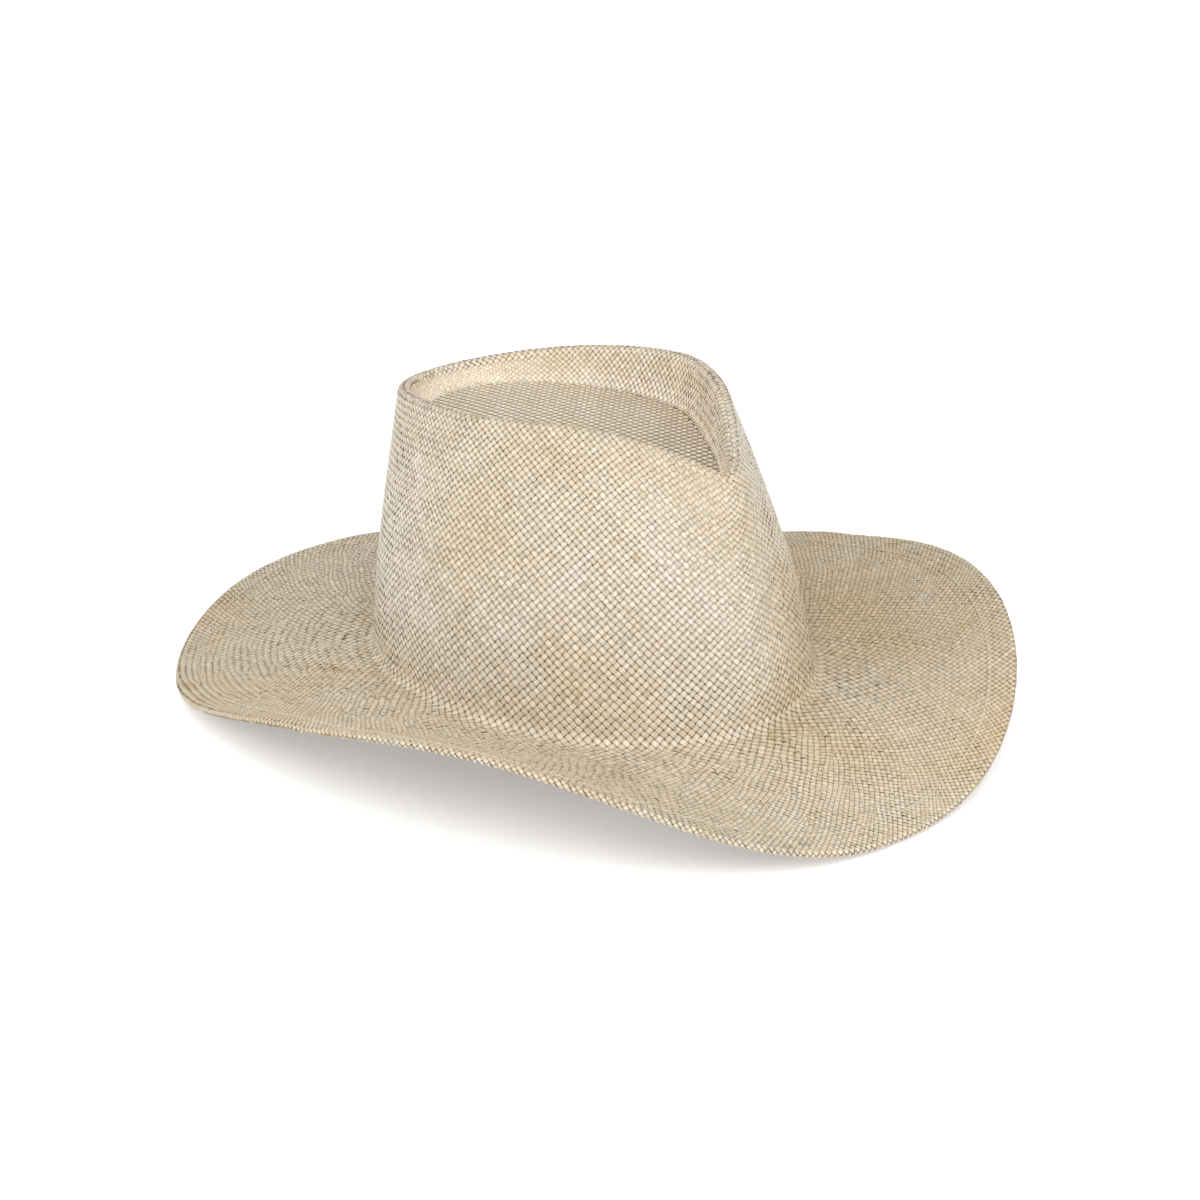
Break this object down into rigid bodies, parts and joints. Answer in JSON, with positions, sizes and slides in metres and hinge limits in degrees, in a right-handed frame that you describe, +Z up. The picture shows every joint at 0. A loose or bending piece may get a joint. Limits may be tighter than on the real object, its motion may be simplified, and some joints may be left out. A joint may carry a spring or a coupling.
{
  "type": "cowboy hat",
  "caption": "Woven straw cowboy hat with a teardrop crown, a wide brim raised at the sides, a stitched wired hem and an inner sweatband.",
  "frame": {"origin": "On the table plane, under the middle of the brim's outline", "axes": "+Z up, -Y to the front of the hat, +X to the wearer's left"},
  "size_m": [0.3132, 0.381, 0.1413],
  "materials": {
    "straw": "plain-woven natural straw, satin",
    "wire": "drawn steel",
    "sleeve": "drawn brass",
    "hem_thread": "spun thread",
    "band": "cotton twill",
    "band_thread": "spun thread",
    "label": "woven ribbon, blank"
  },
  "bodies": {
    "root": {"straw_body": "straw", "brim_wire": "wire", "wire_sleeve": "sleeve", "hem_stitches": "hem_thread", "sweatband": "band", "sweatband_stitches": "band_thread", "joint_stitches": "band_thread", "size_label": "label"}
  },
  "joints": []
}
